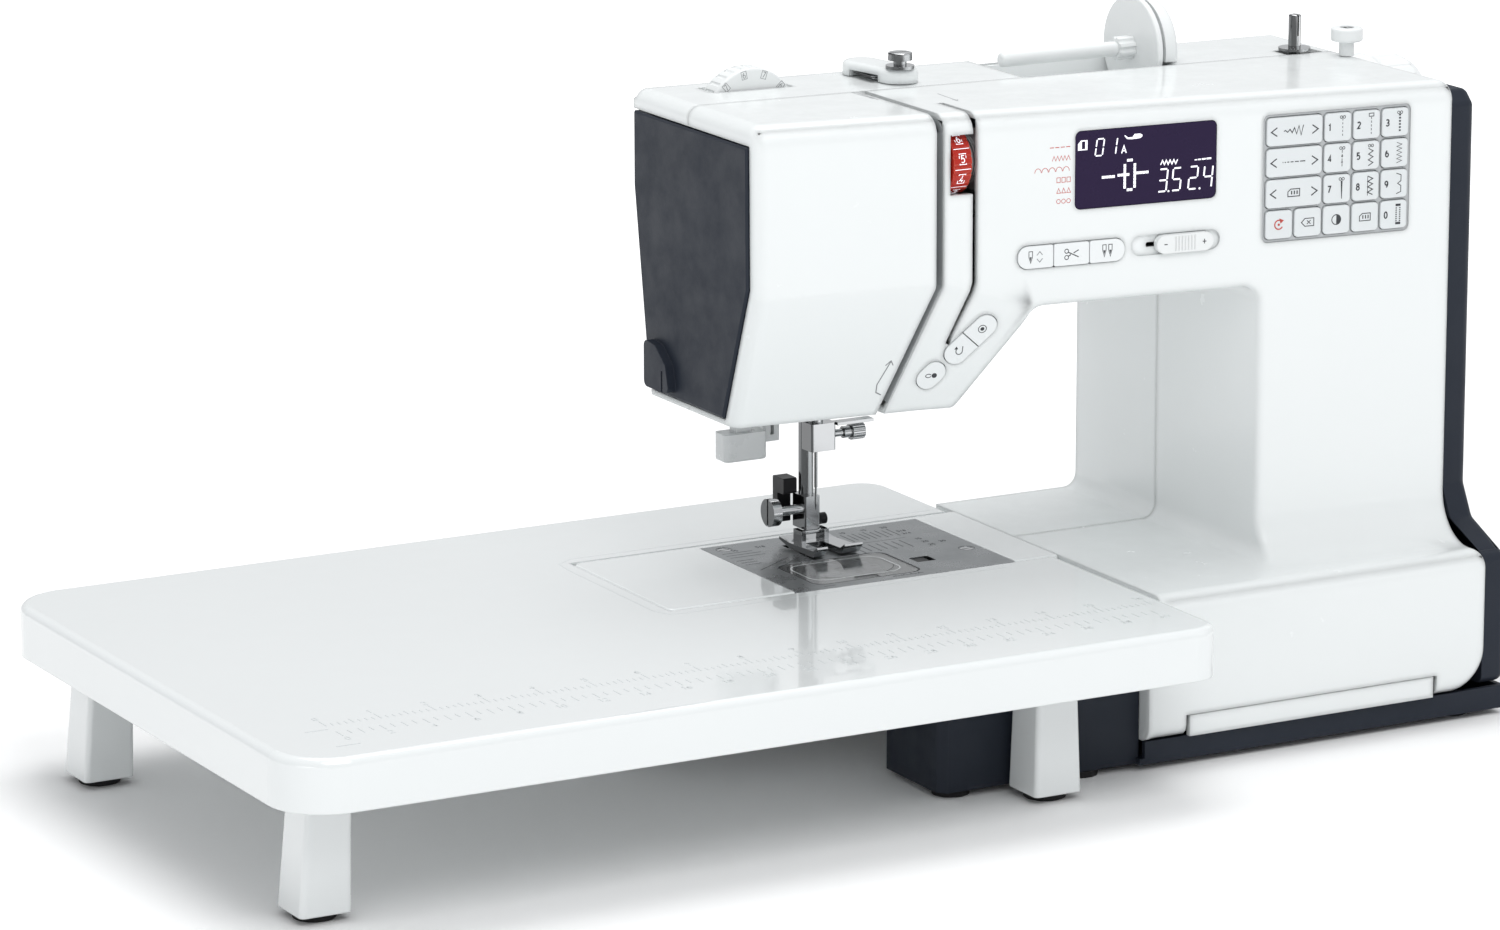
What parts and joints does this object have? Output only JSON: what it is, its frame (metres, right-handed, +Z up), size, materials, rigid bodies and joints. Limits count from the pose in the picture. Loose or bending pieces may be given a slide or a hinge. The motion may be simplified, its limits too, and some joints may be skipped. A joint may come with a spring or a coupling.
{
  "type": "domestic sewing machine with extension table",
  "caption": "White free-arm sewing machine with dark side covers, keypad and display on the arm, clip-on extension table on fold-out legs, foot lowered and needle raised.",
  "frame": {"origin": "centre of the whole object's box at the surface it stands on", "axes": "+X towards the handwheel, +Y to the back, +Z up"},
  "size_m": [0.683, 0.314, 0.3255],
  "materials": {
    "white_shell": "gloss",
    "white_detail": "satin",
    "dark_shell": "satin",
    "chrome_parts": "polished",
    "plate_steel": "brushed",
    "frame_alloy": "cast",
    "display": "gloss",
    "key_grey": "satin",
    "red_dial": "gloss",
    "clear_plastic": "clear",
    "lever_grey": "satin",
    "black_plastic": "satin",
    "black_rubber": "matte",
    "belt_rubber": "matte",
    "board": "matte"
  },
  "bodies": {
    "machine": {"head_cover": "white_shell", "front_cover": "white_shell", "rear_cover": "white_shell", "left_side_cover": "dark_shell", "right_side_cover": "dark_shell", "base_pan": "dark_shell", "rubber_feet": "black_rubber", "free_arm_cover": "white_shell", "needle_plate": "plate_steel", "bobbin_case": "black_plastic", "drive_belts": "belt_rubber", "motor": "frame_alloy", "led_lamp": "clear_plastic", "lcd_window": "display", "keypad_mat": "key_grey", "main_board": "board", "chassis": "frame_alloy", "spool_holder": "white_detail", "thread_guide": "white_detail", "pretension_stud": "chrome_parts", "winder_stop": "white_detail", "power_inlet": "black_plastic", "screws": "chrome_parts"},
    "drive": {"main_shaft": "chrome_parts", "handwheel": "white_detail"},
    "needle_carrier": {"needle_bar": "chrome_parts", "needle": "chrome_parts"},
    "clamp_screw": {"needle_clamp_screw": "chrome_parts"},
    "take_up": {"take_up_lever": "chrome_parts"},
    "lower_drive": {"lower_shaft": "chrome_parts"},
    "hook": {"rotary_hook": "plate_steel"},
    "rotor": {"motor_rotor": "frame_alloy"},
    "feed": {"feed_dog": "plate_steel"},
    "presser": {"presser_bar": "chrome_parts"},
    "foot": {"presser_foot": "clear_plastic"},
    "foot_release": {"foot_release_lever": "black_plastic"},
    "lifter": {"presser_lever": "white_detail"},
    "threader": {"threader_lever": "lever_grey"},
    "buttonhole": {"buttonhole_lever": "lever_grey"},
    "tension": {"tension_dial": "red_dial"},
    "pressure": {"pressure_dial": "white_detail"},
    "keys": {"keypad_keys": "white_detail"},
    "arm_keys": {"arm_buttons": "white_detail"},
    "sewing_keys": {"sewing_buttons": "white_detail"},
    "speed": {"speed_slider": "white_detail"},
    "spool_stop": {"spool_cap": "white_detail"},
    "winder": {"winder_shifter": "plate_steel"},
    "winder_spin_body": {"winder_spindle": "chrome_parts"},
    "bobbin_body": {"bobbin": "clear_plastic"},
    "bobbin_lid": {"bobbin_cover": "clear_plastic"},
    "lid_latch": {"bobbin_cover_latch": "black_plastic"},
    "handle": {"carrying_handle": "white_detail"},
    "drop_feed": {"drop_feed_lever": "white_detail"},
    "power": {"power_switch": "black_plastic"},
    "card": {"reference_card_tray": "white_detail"},
    "table": {"extension_table": "white_shell"},
    "leg_fl": {"table_leg_front_left": "white_shell"},
    "leg_bl": {"table_leg_back_left": "white_shell"},
    "leg_fr": {"table_leg_front_right": "white_shell"},
    "leg_br": {"table_leg_back_right": "white_shell"}
  },
  "joints": [
    {"name": "handwheel_turn", "type": "hinge", "parent": "machine", "child": "drive", "pos_m": [0.1195, 0.047, 0.262], "axis": [1, 0, 0], "range_deg": [0, 181]},
    {"name": "needle_bar_slide", "type": "slide", "parent": "machine", "child": "needle_carrier", "axis": [0, 0, -1], "range_m": [0, 0.033]},
    {"name": "needle_clamp_turn", "type": "hinge", "parent": "needle_carrier", "child": "clamp_screw", "pos_m": [0.0295, 0.051, 0.1345], "axis": [1, 0, 0], "range_deg": [0, 180]},
    {"name": "take_up_swing", "type": "hinge", "parent": "machine", "child": "take_up", "pos_m": [0.0395, 0.013, 0.248], "axis": [1, 0, 0], "range_deg": [0, 26]},
    {"name": "lower_shaft_turn", "type": "hinge", "parent": "machine", "child": "lower_drive", "pos_m": [0.1195, 0.043, 0.044], "axis": [1, 0, 0], "range_deg": [0, 181]},
    {"name": "hook_turn", "type": "hinge", "parent": "machine", "child": "hook", "pos_m": [0.0155, 0.021, 0.06], "axis": [0, 0, 1], "range_deg": [0, 361]},
    {"name": "motor_turn", "type": "hinge", "parent": "machine", "child": "rotor", "pos_m": [0.2195, -0.011, 0.128], "axis": [1, 0, 0], "range_deg": [0, 500]},
    {"name": "feed_slide", "type": "slide", "parent": "machine", "child": "feed", "axis": [0, 1, 0], "range_m": [0, 0.0031]},
    {"name": "presser_lever_lift", "type": "hinge", "parent": "machine", "child": "lifter", "pos_m": [0.0395, 0.081, 0.19], "axis": [0, -1, 0], "range_deg": [0, 66]},
    {"name": "presser_bar_slide", "type": "slide", "parent": "machine", "child": "presser", "axis": [0, 0, 1], "range_m": [0, 0.006]},
    {"name": "foot_tilt", "type": "hinge", "parent": "presser", "child": "foot", "pos_m": [0.0215, 0.059, 0.087], "axis": [1, 0, 0], "range_deg": [-8, 0]},
    {"name": "foot_release_press", "type": "hinge", "parent": "presser", "child": "foot_release", "pos_m": [0.0135, 0.0728, 0.098], "axis": [1, 0, 0], "range_deg": [0, 8], "stiffness_Nm_per_rad": 0.02, "springref_deg": -1.15},
    {"name": "threader_slide", "type": "slide", "parent": "machine", "child": "threader", "axis": [0, 0, -1], "range_m": [0, 0.022], "stiffness_N_per_m": 40, "springref_m": -0.01},
    {"name": "buttonhole_lever_slide", "type": "slide", "parent": "machine", "child": "buttonhole", "axis": [0, 0, -1], "range_m": [0, 0.018]},
    {"name": "tension_dial_turn", "type": "hinge", "parent": "machine", "child": "tension", "pos_m": [0.0395, -0.0316, 0.2754], "axis": [1, 0, 0], "range_deg": [-140, 140]},
    {"name": "pressure_dial_turn", "type": "hinge", "parent": "machine", "child": "pressure", "pos_m": [-0.0125, 0.059, 0.286], "axis": [0, 1, 0], "range_deg": [-120, 120]},
    {"name": "keypad_press", "type": "slide", "parent": "machine", "child": "keys", "axis": [0.0936, 0.9956, 0], "range_m": [0, 0.0008], "stiffness_N_per_m": 900},
    {"name": "arm_buttons_press", "type": "slide", "parent": "machine", "child": "arm_keys", "axis": [0.0936, 0.9956, 0], "range_m": [0, 0.0008], "stiffness_N_per_m": 600},
    {"name": "sewing_buttons_press", "type": "slide", "parent": "machine", "child": "sewing_keys", "axis": [0.1863, 0.9321, 0.3107], "range_m": [0, 0.0008], "stiffness_N_per_m": 600},
    {"name": "speed_slide", "type": "slide", "parent": "machine", "child": "speed", "axis": [0.9956, -0.0936, 0], "range_m": [-0.0115, 0.0035]},
    {"name": "spool_cap_slide", "type": "slide", "parent": "machine", "child": "spool_stop", "axis": [-1, 0, 0], "range_m": [0, 0.058]},
    {"name": "winder_shift", "type": "slide", "parent": "machine", "child": "winder", "axis": [1, 0, 0], "range_m": [0, 0.0035]},
    {"name": "winder_spin", "type": "hinge", "parent": "winder", "child": "winder_spin_body", "pos_m": [0.2675, 0.033, 0.3], "axis": [0, 0, 1], "continuous": true},
    {"name": "bobbin_spin", "type": "hinge", "parent": "machine", "child": "bobbin_body", "pos_m": [0.0155, 0.021, 0.068], "axis": [0, 0, 1], "continuous": true},
    {"name": "latch_slide", "type": "slide", "parent": "machine", "child": "lid_latch", "axis": [1, 0, 0], "range_m": [0, 0.002], "stiffness_N_per_m": 80},
    {"name": "handle_swing", "type": "hinge", "parent": "machine", "child": "handle", "pos_m": [0.1945, 0.0954, 0.257], "axis": [1, 0, 0], "range_deg": [0, 90]},
    {"name": "drop_feed_slide", "type": "slide", "parent": "machine", "child": "drop_feed", "axis": [1, 0, 0], "range_m": [0, 0.01]},
    {"name": "power_rocker", "type": "hinge", "parent": "machine", "child": "power", "pos_m": [0.2955, 0.064, 0.055], "axis": [0, 1, 0], "range_deg": [0, 8]},
    {"name": "card_tray_slide", "type": "slide", "parent": "machine", "child": "card", "axis": [0, -1, 0], "range_m": [0, 0.07]},
    {"name": "table_slide", "type": "slide", "parent": "machine", "child": "table", "axis": [-1, 0, 0], "range_m": [0, 0.21]},
    {"name": "leg_fold_front_left", "type": "hinge", "parent": "table", "child": "leg_fl", "pos_m": [-0.3095, -0.113, 0.065], "axis": [0, -1, 0], "range_deg": [0, 90]},
    {"name": "leg_fold_back_left", "type": "hinge", "parent": "table", "child": "leg_bl", "pos_m": [-0.3095, 0.116, 0.065], "axis": [0, -1, 0], "range_deg": [0, 90]},
    {"name": "leg_fold_front_right", "type": "hinge", "parent": "table", "child": "leg_fr", "pos_m": [0.0455, -0.111, 0.065], "axis": [0, 1, 0], "range_deg": [0, 90]},
    {"name": "leg_fold_back_right", "type": "hinge", "parent": "table", "child": "leg_br", "pos_m": [0.0455, 0.116, 0.065], "axis": [0, 1, 0], "range_deg": [0, 90]},
    {"name": "bobbin_cover_lift", "type": "slide", "parent": "machine", "child": "bobbin_lid", "axis": [0, 0, 1], "range_m": [0, 0.0025]}
  ],
  "couplings": [
    {"joint": "handwheel_turn", "follows": "needle_bar_slide", "rad_per_m": 95.2},
    {"joint": "take_up_swing", "follows": "needle_bar_slide", "rad_per_m": 13.328},
    {"joint": "lower_shaft_turn", "follows": "needle_bar_slide", "rad_per_m": 95.2},
    {"joint": "hook_turn", "follows": "needle_bar_slide", "rad_per_m": 190.4},
    {"joint": "motor_turn", "follows": "needle_bar_slide", "rad_per_m": 261.8},
    {"joint": "feed_slide", "follows": "needle_bar_slide", "ratio": 0.090909},
    {"joint": "presser_lever_lift", "follows": "presser_bar_slide", "rad_per_m": 189.08}
  ]
}
